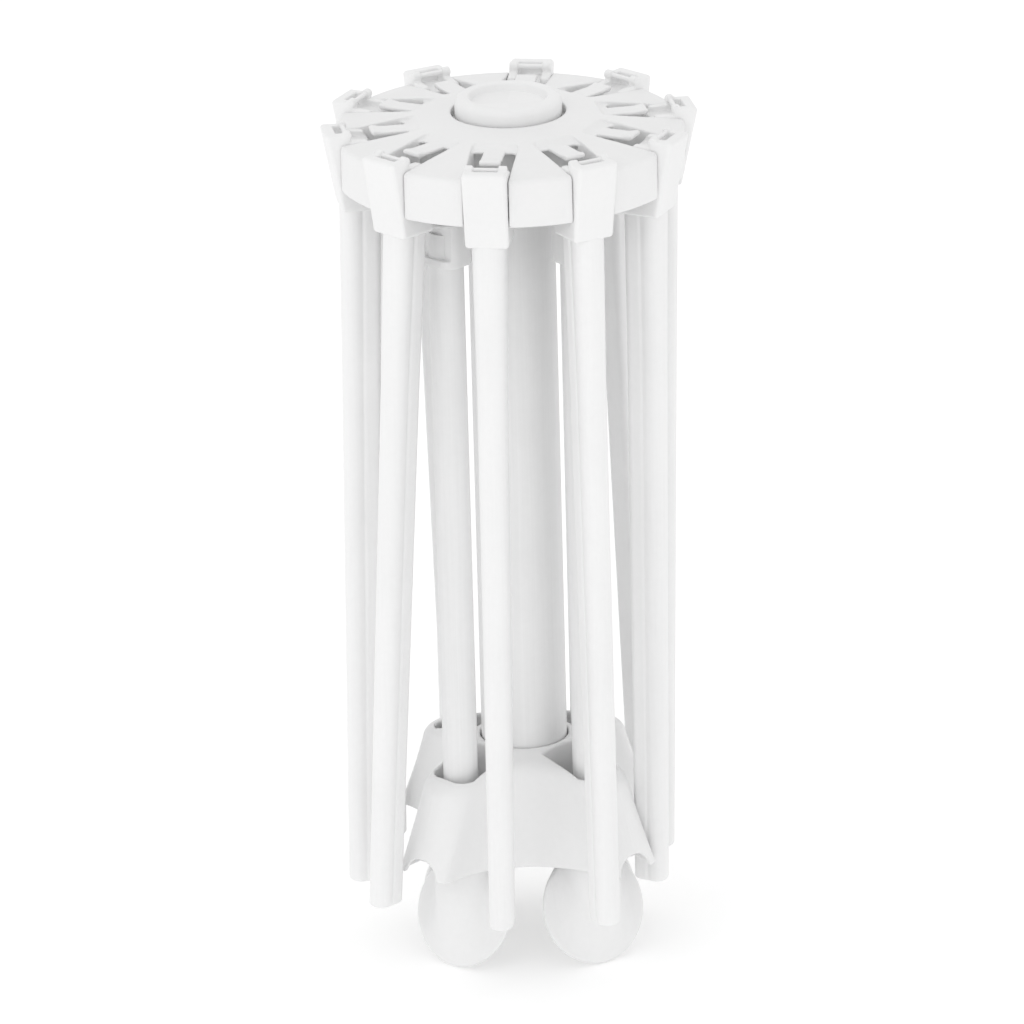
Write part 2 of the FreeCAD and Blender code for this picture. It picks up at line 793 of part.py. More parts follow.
def skirt_loft(name, inset, low, high):
    sections = [
        lobe_outline(name + "Foot", S["lobe_foot_reach"] - inset, S["lobe_foot_half"] - inset,
                     S["lobe_foot_crown"], S["waist_foot"] - inset, low),
        lobe_outline(name + "Top", S["lobe_top_reach"], S["lobe_top_half"] - inset,
                     S["lobe_top_half"] - inset - S["soft_bulge"], S["waist_top"] - inset, high),
    ]
    loft = doc.addObject("Part::Loft", name)
    loft.Sections = sections
    loft.Solid = True
    loft.Ruled = True
    return loft


def build_skirt():
    wall = S["skirt_wall"]
    low, high = S["skirt_bottom"], S["skirt_top"]
    outside = skirt_loft("SkirtOutside", 0, low, high)
    again = skirt_loft("SkirtAgain", 0, low, high)
    under_roof = skirt_loft("SkirtUnderRoof", wall, low - S["soft_bulge"], high - S["roof_thickness"])
    inside = cut("SkirtInside", under_roof, fuse("SkirtRoofs", [
        turned("Roof", side, crest(f"SkirtRoof{side + 1}", DIMENSIONS["roof_thickness"]))
        for side in range(4)]))
    ribs = [cylinder("SkirtSocket", S["socket_radius"], high - low, low)]
    for side in range(4):
        cheek = box(f"SkirtCheek{side + 1}", S["rib_root"], S["channel_outer"] + wall,
                    S["channel_half"] + wall, S["channel_step"], high)
        room = box(f"SkirtRoomWall{side + 1}", S["rib_root"], S["ankle_room_outer"],
                   S["ankle_room_half"] + wall, low, S["channel_step"] + wall)
        ribs.append(turned("Cheek", side, cheek))
        ribs.append(turned("RoomWall", side, room))
    core = common("SkirtCore", again, fuse("SkirtRibs", ribs))
    shell = cut("SkirtShell", outside, inside)
    over = S["over"]
    holes = [cylinder("SkirtBore", S["mast_radius"], high - low + over * 2, low - over)]
    for side in range(4):
        channel = box(f"SkirtChannel{side + 1}", S["channel_inner"], S["channel_outer"],
                      S["channel_half"], low - over, high + over)
        arch = doc.addObject("Part::Cylinder", f"SkirtArch{side + 1}")
        bind(arch, Radius=S["arch_radius"], Height=S["lobe_foot_reach"])
        arch.Placement = FreeCAD.Placement(
            FreeCAD.Vector(DIMENSIONS["arch_start"], 0, DIMENSIONS["skirt_bottom"] - DIMENSIONS["arch_drop"]),
            FreeCAD.Rotation(FreeCAD.Vector(0, 1, 0), 90))
        room = box(f"SkirtRoom{side + 1}", S["channel_inner"], S["ankle_room_outer"],
                   S["ankle_room_half"], low - over, S["channel_step"])
        holes.append(turned("Crest", side, crest(f"SkirtCrest{side + 1}", 0)))
        holes.append(turned("Channel", side, channel))
        holes.append(turned("Room", side, room))
        holes.append(turned("Arch", side, arch))
    body = cut("Skirt", fuse("SkirtBody", [shell, core]), fuse("SkirtHoles", holes))
    body.Placement = turn_about_z(45)
    keep(body, "skirt")


def crest(name, depth):
    """The space above a lobe's sloping top, or above a surface that lies a depth below it."""
    size = S["lobe_foot_reach"]
    block = doc.addObject("Part::Box", name)
    bind(block, Length=size, Width=size, Height=size)
    block.Placement = FreeCAD.Placement(
        FreeCAD.Vector(DIMENSIONS["crest_start"], -size.number / 2, DIMENSIONS["skirt_top"] - depth),
        FreeCAD.Rotation(FreeCAD.Vector(0, 1, 0), DIMENSIONS["crest_fall"]))
    return block


def turned(name, side, shape):
    """Carries a shape to one of the four lobes."""
    carrier = doc.addObject("Part::MultiFuse", f"{name}Side{side + 1}")
    carrier.Shapes = [shape, shape]
    carrier.Placement = turn_about_z(90 * side)
    return carrier


# ---------------------------------------------------------------- legs and feet

def leg_placement(name):
    spin = turn_about_z(LEG_AZIMUTHS[name] - 90)
    upright = spin * FreeCAD.Placement(FreeCAD.Vector(DIMENSIONS["leg_ring"], 0, 0), FreeCAD.Rotation())
    middle = upright.multVec(FreeCAD.Vector(0, 0, DIMENSIONS["lean_height"]))
    lean = FreeCAD.Placement(
        FreeCAD.Vector(), FreeCAD.Rotation(FreeCAD.Vector(0, 1, 0), -LEG_LEANS[name]), middle)
    return lean * upright


def build_leg(name):
    leg = tube(f"Leg_{name}", S["leg_radius"], S["leg_radius"] - S["leg_wall"], S["leg_bottom"],
               S["leg_top"])
    leg.Placement = leg_placement(name)
    keep(leg, f"leg_tube_{name}")


def build_leg_head(name):
    body = doc.addObject("PartDesign::Body", f"Head_{name}")
    half_depth = S["head_depth"] / 2
    block = slab(body, "PartDesign::Pad", [
        (-half_depth, S["head_bottom"]),
        (half_depth, S["head_bottom"]),
        (half_depth, S["head_top"]),
        (-half_depth, S["head_top"]),
    ], S["head_width"], "Block")
    doc.recompute()
    rounding = body.newObject("PartDesign::Fillet", "Rounding")
    rounding.Base = (block, [f"Edge{index + 1}" for index in range(len(block.Shape.Edges))])
    bind(rounding, Radius=S["head_edge"])
    panel_back, panel_front = half_depth - S["head_recess"], half_depth + S["over"]
    panel_low, panel_high = S["head_bottom"] + S["head_lip"], S["head_top"] - S["head_crown"]
    slab(body, "PartDesign::Pocket", [
        (panel_back, panel_low),
        (panel_front, panel_low),
        (panel_front, panel_high),
        (panel_back, panel_high),
    ], S["head_width"] - S["head_flange"] * 2, "Panel")
    sketch = sketch_in(body, "SocketOutline", "XY_Plane")
    circle(sketch, 0, 0, S["leg_radius"])
    socket = body.newObject("PartDesign::Pocket", "Socket")
    socket.Profile = sketch
    socket.Reversed = True
    bind(socket, Length=S["leg_top"])
    body.Tip = socket
    body.Placement = leg_placement(name)
    keep(body, f"leg_head_{name}")


def build_foot(name):
    """A round pad whose sole lies flat once the leg is swung out, with the ankle that holds the leg."""
    pad = cylinder(f"Pad_{name}", S["foot_radius"], S["foot_thickness"])
    tilt = FreeCAD.Rotation(FreeCAD.Vector(0, 1, 0), 90 - DIMENSIONS["foot_tilt"])
    normal = tilt.multVec(FreeCAD.Vector(0, 0, 1))
    centre = FreeCAD.Vector(0, 0, DIMENSIONS["foot_centre"])
    sole = centre - normal * (DIMENSIONS["foot_thickness"] / 2)
    pad.Placement = FreeCAD.Placement(sole, tilt)
    rim = doc.addObject("Part::Fillet", f"Rim_{name}")
    doc.recompute()
    rim.Base = pad
    rim.Edges = [(edge, DIMENSIONS["foot_rim"], DIMENSIONS["foot_rim"]) for edge in (1, 3)]
    ankle = cylinder(f"Ankle_{name}", S["ankle_radius"], S["ankle_top"] - S["ankle_bottom"],
                     S["ankle_bottom"])
    toe = doc.addObject("Part::Sphere", f"Toe_{name}")
    bind(toe, Radius=S["ankle_radius"])
    bind_base(toe, z=S["ankle_bottom"])
    front = doc.addObject("Part::Box", f"Front_{name}")
    span = S["foot_radius"] * 6
    bind(front, Length=span, Width=span, Height=span)
    front.Placement = FreeCAD.Placement(sole, tilt) * FreeCAD.Placement(
        FreeCAD.Vector(-span.number / 2, -span.number / 2, DIMENSIONS["sole_set"]), FreeCAD.Rotation())
    upper = common(f"Upper_{name}", fuse(f"Boot_{name}", [ankle, toe]), front)
    socket = cylinder(f"Socket_{name}", S["leg_radius"], S["ankle_top"], S["leg_bottom"])
    foot = cut(f"Foot_{name}", fuse(f"Whole_{name}", [rim, upper]), socket)
    foot.Placement = leg_placement(name) * turn_about_z(FOOT_TURNS[name])
    keep(foot, f"foot_{name}")


# ---------------------------------------------------------------- build, check and write

def check(thing):
    if thing.State and any(word in thing.State for word in ("Invalid", "Error")):
        raise RuntimeError(f"{thing.Name} is {thing.State}")


def main():
    build_mast()
    build_collar()
    build_cap()
    build_hub()
    build_hinge_pins()
    for number in range(int(DIMENSIONS["arm_count"])):
        build_bracket(number)
        build_rod(number)
    build_skirt()
    for name in LEG_AZIMUTHS:
        build_leg(name)
        build_leg_head(name)
        build_foot(name)
    doc.recompute()
    for thing in doc.Objects:
        check(thing)
    for node in nodes:
        if node.Shape.isNull() or not node.Shape.isValid():
            raise RuntimeError(f"{node.Label} has no valid shape")
    for node in nodes:
        node.Shape.exportStep(f"parts/{node.Label}.step")
        box_now = node.Shape.BoundBox
        print(f"{node.Label}: {len(node.Shape.Solids)} solid, {node.Shape.Volume / 1000:.2f} cm3, "
              f"z {box_now.ZMin:.1f} to {box_now.ZMax:.1f}")


main()
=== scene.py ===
import json
import math

import bpy
import numpy as np
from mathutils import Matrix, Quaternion, Vector


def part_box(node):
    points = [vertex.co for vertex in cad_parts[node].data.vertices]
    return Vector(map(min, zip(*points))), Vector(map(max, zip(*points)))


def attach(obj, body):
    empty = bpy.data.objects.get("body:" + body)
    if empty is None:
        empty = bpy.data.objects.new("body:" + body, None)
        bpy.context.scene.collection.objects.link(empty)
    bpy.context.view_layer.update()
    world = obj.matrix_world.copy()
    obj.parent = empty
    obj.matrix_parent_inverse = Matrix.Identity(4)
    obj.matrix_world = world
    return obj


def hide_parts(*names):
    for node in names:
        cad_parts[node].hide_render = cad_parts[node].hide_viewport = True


# The visual model of the rotary clothes dryer. Shapes are worked out in millimetres in the packed
# model's frame: Z is up and the mast stands on the origin. An arm's or a leg's own coordinates are
# u outwards from the mast, v to its side and z up.

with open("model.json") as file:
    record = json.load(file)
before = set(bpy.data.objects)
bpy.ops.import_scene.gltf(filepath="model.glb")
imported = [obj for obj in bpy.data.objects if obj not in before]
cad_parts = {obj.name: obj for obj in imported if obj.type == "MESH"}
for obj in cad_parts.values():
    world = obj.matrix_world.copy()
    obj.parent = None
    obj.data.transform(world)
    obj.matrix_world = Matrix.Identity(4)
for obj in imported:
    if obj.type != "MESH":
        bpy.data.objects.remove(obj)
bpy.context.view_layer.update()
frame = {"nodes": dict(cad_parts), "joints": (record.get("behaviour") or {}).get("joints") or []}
MM = 0.001
joints = {joint["name"]: joint for joint in frame["joints"]}


# ---------------------------------------------------------------- fields: negative inside

def meet(first, second, radius):
    """What lies in both, with its edge rounded."""
    over = np.hypot(np.maximum(first + radius, 0), np.maximum(second + radius, 0))
    return np.minimum(np.maximum(first, second), -radius) + over


def join(first, second, radius):
    """What lies in either, with a fillet between them."""
    return -meet(-first, -second, radius)


def carve(first, second, radius):
    """What lies in the first and outside the second, with its edge rounded."""
    return meet(first, -second, radius)


def within(value, low, high):
    return np.maximum(low - value, value - high)


def outline(x, y, points, walls=None):
    """Distance to a closed outline; only its first `walls` sides count as its edge."""
    walls = len(points) if walls is None else walls
    nearest = np.full(np.shape(x), 1e9)
    inside = np.zeros(np.shape(x), bool)
    for side, ((x0, y0), (x1, y1)) in enumerate(zip(points, points[1:] + points[:1])):
        run, rise = x1 - x0, y1 - y0
        if side < walls:
            length = np.maximum(run * run + rise * rise, 1e-9)
            share = np.clip(((x - x0) * run + (y - y0) * rise) / length, 0, 1)
            nearest = np.minimum(nearest, (x - x0 - run * share) ** 2 + (y - y0 - rise * share) ** 2)
        crosses = (y0 <= y) != (y1 <= y)
        slope = run / np.where(np.abs(rise) < 1e-9, 1e-9, rise)
        inside ^= crosses & (x < x0 + (y - y0) * slope)
    return np.where(inside, -1, 1) * np.sqrt(nearest)


def inset(points, distance):
    """An outline, listed anticlockwise, moved inwards."""
    moved = []
    count = len(points)
    for index in range(count):
        before, here, after = (np.array(points[(index + step) % count], float) for step in (-1, 0, 1))
        one, two = (here - before), (after - here)
        one, two = one / np.linalg.norm(one), two / np.linalg.norm(two)
        turn = one[0] * two[1] - one[1] * two[0]
        moved.append(tuple(here + (two - one) * distance / turn))
    return moved


def rounded_outline(x, y, points, radius):
    return outline(x, y, inset(points, radius)) - radius


# ---------------------------------------------------------------- meshes

def surface_net(field, axes, place=None, wrap=None):
    """A mesh on the field's zero: one vertex in each grid cell that the surface passes through."""
    grid = np.meshgrid(*axes, indexing="ij")
    spots = np.stack(place(*grid) if place else grid, -1)
    values = field(spots[..., 0], spots[..., 1], spots[..., 2])
    inside = values < 0
    corners, crossings = [], []
    for axis in range(3):
        crossing = inside != np.roll(inside, -1, axis)
        if axis != wrap:
            crossing[(slice(None),) * axis + (-1,)] = False
        here = np.argwhere(crossing)
        there = here.copy()
        there[:, axis] = (there[:, axis] + 1) % values.shape[axis]
        start, end = values[tuple(here.T)], values[tuple(there.T)]
        share = (start / (start - end))[:, None]
        spot = spots[tuple(here.T)] * (1 - share) + spots[tuple(there.T)] * share
        second, third = (axis + 1) % 3, (axis + 2) % 3
        ring = []
        for back, down in ((-1, -1), (0, -1), (0, 0), (-1, 0)):
            cell = here.copy()
            cell[:, second] += back
            cell[:, third] += down
            cell %= values.shape
            ring.append(np.ravel_multi_index(cell.T, values.shape))
        ring = np.stack(ring, 1)
        outward = start < 0
        corners.append(np.where(outward[:, None], ring, ring[:, ::-1]))
        crossings.append(spot)
    corners = np.concatenate(corners)
    crossings = np.concatenate(crossings)
    cells, faces = np.unique(corners, return_inverse=True)
    faces = faces.reshape(corners.shape)
    total = np.zeros((len(cells), 3))
    for column in faces.T:
        for part in range(3):
            total[:, part] += np.bincount(column, crossings[:, part], len(cells))
    vertices = total / np.bincount(faces.ravel(), minlength=len(cells))[:, None]
    return settle(field, vertices), faces


def settle(field, vertices, passes=4, reach=0.4, probe=0.03):
    """Moves vertices onto the field's zero along its slope."""
    for _ in range(passes):
        value = field(*vertices.T)
        slope = np.empty_like(vertices)
        for part in range(3):
            shift = np.zeros(3)
            shift[part] = probe
            slope[:, part] = (field(*(vertices + shift).T) - field(*(vertices - shift).T)) / (2 * probe)
        steepness = np.maximum((slope ** 2).sum(1), 0.3)
        step = np.clip(value / steepness, -reach, reach)
        vertices = vertices - slope * step[:, None]
    return vertices


def steps(*runs):
    """Grid lines: each run is (start, end, spacing), and runs follow on from each other."""
    lines = []
    for start, end, spacing in runs:
        count = max(1, round((end - start) / spacing))
        lines.extend(np.linspace(start, end, count, endpoint=False))
    lines.append(runs[-1][1])
    return np.array(lines)


def soften(points, pieces=7):
    """An outline's corners (x, y, radius) turned into arcs."""
    softened = []
    for index, (x, y, radius) in enumerate(points):
        corner = np.array((x, y), float)
        if radius == 0:
            softened.append(corner)
            continue
        before = np.array(points[index - 1][:2], float) - corner
        after = np.array(points[(index + 1) % len(points)][:2], float) - corner
        before, after = before / np.linalg.norm(before), after / np.linalg.norm(after)
        half = math.acos(np.clip(before @ after, -1, 1)) / 2
        middle = before + after
        centre = corner + middle / np.linalg.norm(middle) * radius / math.sin(half)
        start = corner + before * radius / math.tan(half) - centre
        end = corner + after * radius / math.tan(half) - centre
        sweep = math.atan2(start[0] * end[1] - start[1] * end[0], start @ end)
        for share in np.linspace(0, sweep, pieces):
            cos, sin = math.cos(share), math.sin(share)
            softened.append(centre + np.array((start[0] * cos - start[1] * sin,
                                               start[0] * sin + start[1] * cos)))
    return softened


def loft(rings, closed=False):
    """Skins equal rings of points; the ends are closed with a face unless the rings form a loop."""
    rings = np.array(rings)
    count, size = rings.shape[:2]
    faces = []
    for level in range(count if closed else count - 1):
        low, high = level * size, (level + 1) % count * size
        for side in range(size):
            other = (side + 1) % size
            faces.append((low + side, low + other, high + other, high + side))
    if not closed:
        faces.append(tuple(range(size))[::-1])
        faces.append(tuple(range((count - 1) * size, count * size)))
    return rings.reshape(-1, 3), faces


def lathe(profile, closed=False, sides=144):
    """Turns a profile of (radius, z), listed anticlockwise, about the Z axis."""
    angles = np.arange(sides) * 2 * math.pi / sides
    rings = []
    for radius, z in profile:
        rings.append(np.stack([radius * np.cos(angles), radius * np.sin(angles), np.full(sides, z)], 1))
    return loft(rings, closed)


def stand(vertices, origin, u_axis, v_axis, z_axis):
    """Carries (u, v, z) points into the frame, in millimetres."""
    axes = np.array([u_axis, v_axis, z_axis], float)
    return np.asarray(vertices) @ axes + np.array(origin, float)


def add_piece(name, vertices, faces, body, nodes, material):
    mesh = bpy.data.meshes.new(name)
    rows = faces.tolist() if isinstance(faces, np.ndarray) else faces
    mesh.from_pydata((np.asarray(vertices) * MM).tolist(), [], rows)
    mesh.validate()
    mesh.shade_smooth()
    mesh.materials.append(material)
    piece = bpy.data.objects.new(name, mesh)
    bpy.context.scene.collection.objects.link(piece)
    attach(piece, body)
    if nodes:
        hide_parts(*nodes)
    return piece


def node_points(node):
    """A CAD node's vertices, in millimetres."""
    mesh = frame["nodes"][node].data
    points = np.empty(len(mesh.vertices) * 3)
    mesh.vertices.foreach_get("co", points)
    return points.reshape(-1, 3) / MM


def node_box(node):
    low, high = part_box(node)
    return np.array(low) / MM, np.array(high) / MM


# ---------------------------------------------------------------- materials

def new_node(tree, kind, **values):
    node = tree.nodes.new(kind)
    for name, value in values.items():
        if name in node.inputs:
            node.inputs[name].default_value = value
        else:
            setattr(node, name, value)
    return node


def noise(tree, where, size, stretch=(1, 1, 1), detail=3.0):
    """Noise whose features are about `size` metres across, drawn out along an axis by `stretch`."""
    scale = new_node(tree, "ShaderNodeMapping")
    scale.inputs["Scale"].default_value = [1 / (size * factor) for factor in stretch]
    tree.links.new(where, scale.inputs["Vector"])
    made = new_node(tree, "ShaderNodeTexNoise", Scale=1.0, Detail=detail, Roughness=0.55)
    tree.links.new(scale.outputs["Vector"], made.inputs["Vector"])
    return made.outputs["Fac"]


def spread(tree, value, low, high, out_low, out_high):
    ramp = new_node(tree, "ShaderNodeMapRange")
    for name, number in (("From Min", low), ("From Max", high), ("To Min", out_low), ("To Max", out_high)):
        ramp.inputs[name].default_value = number
    tree.links.new(value, ramp.inputs["Value"])
    return ramp.outputs["Result"]


def arithmetic(tree, kind, first, second):
    node = new_node(tree, "ShaderNodeMath", operation=kind)
    for socket, value in zip(node.inputs, (first, second)):
        if isinstance(value, (int, float)):
            socket.default_value = value
        else:
            tree.links.new(value, socket)
    return node.outputs["Value"]


def plastic(name, tone, roughness, grain=0.0011, drawn=0.0, warmth=(1.0, 1.0, 1.0)):
    """Moulded or drawn white plastic: cloudy tone, fine grain, and a polish worn onto its edges."""
    material = bpy.data.materials.new(name)
    material.use_nodes = True
    tree = material.node_tree
    shader = tree.nodes["Principled BSDF"]
    where = new_node(tree, "ShaderNodeTexCoord").outputs["Object"]
    clouds = noise(tree, where, 0.06, detail=2.0)
    mottle = noise(tree, where, 0.004, detail=4.0)
    specks = noise(tree, where, grain, detail=2.0)
    streaks = noise(tree, where, 0.0016, stretch=(1, 1, 60), detail=3.0)
    edges = new_node(tree, "ShaderNodeNewGeometry").outputs["Pointiness"]
    worn = spread(tree, edges, 0.52, 0.60, 0.0, 1.0)

    shade = arithmetic(tree, "ADD", spread(tree, clouds, 0.3, 0.7, -0.012, 0.012),
                       spread(tree, mottle, 0.3, 0.7, -0.006, 0.006))
    shade = arithmetic(tree, "ADD", shade, spread(tree, streaks, 0.3, 0.7, -0.012 * drawn, 0.012 * drawn))
    shade = arithmetic(tree, "ADD", shade, arithmetic(tree, "MULTIPLY", worn, 0.02))
    shade = arithmetic(tree, "ADD", shade, tone)
    colour = new_node(tree, "ShaderNodeCombineColor")
    for channel, factor in zip(("Red", "Green", "Blue"), warmth):
        tree.links.new(arithmetic(tree, "MULTIPLY", shade, factor), colour.inputs[channel])
    tree.links.new(colour.outputs["Color"], shader.inputs["Base Color"])

    gloss = arithmetic(tree, "ADD", spread(tree, mottle, 0.3, 0.7, -0.05, 0.05), roughness)
    gloss = arithmetic(tree, "SUBTRACT", gloss, arithmetic(tree, "MULTIPLY", worn, 0.08))
    tree.links.new(gloss, shader.inputs["Roughness"])
    shader.inputs["Specular IOR Level"].default_value = 0.42

    height = arithmetic(tree, "ADD", arithmetic(tree, "MULTIPLY", specks, 1.0),
                        arithmetic(tree, "MULTIPLY", streaks, 1.4 * drawn))
    bump = new_node(tree, "ShaderNodeBump", Strength=0.35, Distance=0.00006)
    tree.links.new(height, bump.inputs["Height"])
    tree.links.new(bump.outputs["Normal"], shader.inputs["Normal"])
    return material


def steel(name):
    """Turned steel pins with fine rings of brushing."""
    material = bpy.data.materials.new(name)
    material.use_nodes = True
    tree = material.node_tree
    shader = tree.nodes["Principled BSDF"]
    shader.inputs["Metallic"].default_value = 1.0
    where = new_node(tree, "ShaderNodeTexCoord").outputs["Object"]
    brushing = noise(tree, where, 0.0008, stretch=(4, 4, 1), detail=4.0)
    tarnish = noise(tree, where, 0.01, detail=2.0)
    colour = new_node(tree, "ShaderNodeCombineColor")
    shade = spread(tree, tarnish, 0.3, 0.7, 0.5, 0.62)
    for channel, factor in (("Red", 1.0), ("Green", 1.0), ("Blue", 1.02)):
        tree.links.new(arithmetic(tree, "MULTIPLY", shade, factor), colour.inputs[channel])
    tree.links.new(colour.outputs["Color"], shader.inputs["Base Color"])
    tree.links.new(spread(tree, brushing, 0.3, 0.7, 0.28, 0.42), shader.inputs["Roughness"])
    bump = new_node(tree, "ShaderNodeBump", Strength=0.3, Distance=0.00004)
    tree.links.new(brushing, bump.inputs["Height"])
    tree.links.new(bump.outputs["Normal"], shader.inputs["Normal"])
    return material


MATERIALS = {
    "arm_plastic": plastic("Arm plastic", 0.86, 0.46, drawn=0.6),
    "bracket_plastic": plastic("Bracket plastic", 0.86, 0.44),
    "hub_plastic": plastic("Hub plastic", 0.84, 0.48),
    "mast_plastic": plastic("Mast plastic", 0.86, 0.42, drawn=1.0),
    "cap_plastic": plastic("Cap plastic", 0.85, 0.44),
    "leg_plastic": plastic("Leg plastic", 0.86, 0.42, drawn=1.0),
    "skirt_plastic": plastic("Skirt plastic", 0.85, 0.48),
    "foot_plastic": plastic("Foot plastic", 0.85, 0.48),
    "bush_plastic": plastic("Bush plastic", 0.62, 0.5, grain=0.0008, warmth=(1.0, 0.98, 0.93)),
    "pin_metal": steel("Pin steel"),
}


# ---------------------------------------------------------------- hub

hub_low, hub_high = node_box("hub_shell")
HUB_RADIUS = (hub_high[0] - hub_low[0]) / 2
HUB_BOTTOM, HUB_CROWN = hub_low[2], hub_high[2]
RIM_DROP = 10.0
WELL_RADIUS = 34.2
WELL_DEPTH = 6.6
HUB_WALL = 3.5
BOSS_RADIUS = 37.5
SLOT_HALF = 13.5
SLOT_START = 54.2
SLOT_OPEN = 61.0
SLOT_FLOOR = 524.8
SLOT_RAMP = 5.3
SLOT_RAMP_RISE = 2.7
SLAB_THICKNESS = 1.7
SLOT_CORNER = 4.0
SLOT_EDGE = 0.9
CHEEK_HALF = 16.5
CHEEK_SETBACK = 1.5
TONGUE_HALF = 6.3
TONGUE_EDGE = 0.8
# from its root under the slot's floor to its raised lip, drawn in by TONGUE_EDGE
TONGUE = [(57.0, 523.5), (81.2, 523.5), (82.3, 524.4), (82.3, 525.0), (81.6, 525.4), (75.4, 524.3),
          (62.0, 524.3), (57.0, 524.3)]
PIN_BORE = 2.55
MAST_BORE = 26.0
first_joint = joints["arm_01_swing"]
PIVOT_RING = math.hypot(*first_joint["pos_m"][:2]) / MM
PIVOT_HEIGHT = first_joint["pos_m"][2] / MM
ARM_COUNT = 10
SECTOR = 2 * math.pi / ARM_COUNT
PHASE = math.atan2(first_joint["pos_m"][0], -first_joint["pos_m"][1])


def hub_field(x, y, z):
    radius = np.hypot(x, y)
    azimuth = np.arctan2(x, -y) - PHASE
    folded = np.abs((azimuth + SECTOR / 2) % SECTOR - SECTOR / 2)
    u, v = radius * np.cos(folded), radius * np.sin(folded)
    crown = HUB_CROWN - (radius - WELL_RADIUS) * RIM_DROP / (HUB_RADIUS - WELL_RADIUS)
    body = meet(z - crown, radius - HUB_RADIUS, 2.4)
    body = meet(body, HUB_BOTTOM - z, 2.0)
    cavity = meet(meet(radius - HUB_RADIUS + HUB_WALL, BOSS_RADIUS - radius, 0.1), z - crown + HUB_WALL, 2.0)
    body = carve(body, cavity, 0.8)
    cheek = np.maximum(np.maximum(v - CHEEK_HALF, within(u, SLOT_START - 3, HUB_RADIUS - CHEEK_SETBACK)),
                       within(z, HUB_BOTTOM + 2.5, crown - CHEEK_SETBACK))
    body = join(body, cheek, 1.0)

    ramp = np.clip((SLOT_START + SLOT_RAMP - u) / SLOT_RAMP, 0, 1)
    floor = SLOT_FLOOR + SLOT_RAMP_RISE * ramp ** 1.6
    trough = meet(meet(SLOT_START - u, v - SLOT_HALF, 3.5), floor - z, 0.6)
    window = meet(SLOT_OPEN - u, v - SLOT_HALF, SLOT_CORNER)
    body = carve(body, join(trough, window, 0.8), SLOT_EDGE)
    hollow = np.maximum(np.maximum(within(u, SLOT_START, SLOT_OPEN + 1), v - SLOT_HALF),
                        z - SLOT_FLOOR + SLAB_THICKNESS)
    body = carve(body, hollow, 0.3)

    tongue = outline(u, z, TONGUE) - TONGUE_EDGE
    body = join(body, meet(tongue, v - TONGUE_HALF, 0.9), 0.6)
    body = carve(body, np.maximum(radius - BOSS_RADIUS - 0.1, z - HUB_BOTTOM - 2), 0.3)
    pin = np.maximum(np.hypot(u - PIVOT_RING, z - PIVOT_HEIGHT) - PIN_BORE, v - CHEEK_HALF - 1)
    body = carve(body, pin, 0.2)
    body = carve(body, np.maximum(radius - WELL_RADIUS, HUB_CROWN - WELL_DEPTH - z), 1.0)
    return np.maximum(body, MAST_BORE - radius)


def hub_place(radius, azimuth, z):
    return radius * np.sin(azimuth), -radius * np.cos(azimuth), z


def make_hub():
    radii = steps((24.5, 33, 1.7), (33, 38.5, 0.7), (38.5, 49, 1.8), (49, 66, 0.8), (66, 78, 1.4),
                  (78, 84, 0.7), (84, 94, 1.5), (94, 106.4, 0.8))
    half = steps((0, 3, 1.0), (3, 16.5, 0.62), (16.5, 18, 0.75))
    sector = np.radians(np.concatenate([-half[::-1][:-1], half[:-1]]))
    azimuths = np.concatenate([sector + PHASE + SECTOR * number for number in range(ARM_COUNT)])
    heights = steps((490.4, 497, 0.9), (497, 508, 1.8), (508, 516, 1.0), (516, 520, 1.3),
                    (520, 532.6, 0.7))
    vertices, faces = surface_net(hub_field, (radii, azimuths, heights), hub_place, wrap=1)
    add_piece("hub_disc", vertices, faces, "hub", ["hub_shell"], MATERIALS["hub_plastic"])


# ---------------------------------------------------------------- arms

BRACKET_BOTTOM = 479.0
BRACKET_RING = 90.0
BRACKET_SIDE = [(75.5, 479), (102, 479), (112, 527), (98, 527), (96.5, 523.2), (86.5, 522.6),
                (83.4, 518), (82, 509), (81, 500)]
BRACKET_HALF = 13.0
RECESS = [(60, 519.6), (104.6, 519.6), (105.6, 532), (60, 532)]
RECESS_HALF = 7.5
KNOB_U, KNOB_Z = 99.0, 526.0
KNOB_RADIUS = 2.8
KNOB_INSET = 0.5
BAR_RADIUS = 1.5
BRACKET_BORE = 2.62


def bracket_field(u, v, z):
    v = np.abs(v)
    body = meet(rounded_outline(u, z, BRACKET_SIDE, 2.0), v - BRACKET_HALF, 2.4)
    body = carve(body, meet(outline(u, z, RECESS), v - RECESS_HALF, 0.8), 0.7)
    from_knob = np.hypot(u - KNOB_U, z - KNOB_Z)
    knob = meet(from_knob - KNOB_RADIUS, within(v, RECESS_HALF, BRACKET_HALF - KNOB_INSET), 0.7)
    body = join(body, knob, 0.5)
    bar = np.maximum(from_knob - BAR_RADIUS, v - RECESS_HALF - 1)
    body = join(body, bar, 0.4)
    return carve(body, np.hypot(u - PIVOT_RING, z - PIVOT_HEIGHT) - BRACKET_BORE, 0.2)


def rod_section(depth, width, sides=96):
    """An oval with a valley down each flank: a round outer lobe and a flat-sided inner one."""
    a, b = depth / 2, width / 2
    angles = np.arange(sides) * 2 * math.pi / sides

    def field(radius):
        p, q = radius * np.cos(angles), np.abs(radius * np.sin(angles))
        outer = (np.hypot((p - 0.27 * a) / (0.73 * a), q / b) - 1) * b
        inner = meet(within(p, -a, 0.1 * a), q - 0.972 * b, 0.42 * b)
        return join(outer, inner, 0.5)

    low, high = np.zeros(sides), np.full(sides, a * 1.5)
    for _ in range(40):
        middle = (low + high) / 2
        filled = field(middle) < 0
        low, high = np.where(filled, middle, low), np.where(filled, high, middle)
    return low * np.cos(angles), low * np.sin(angles)


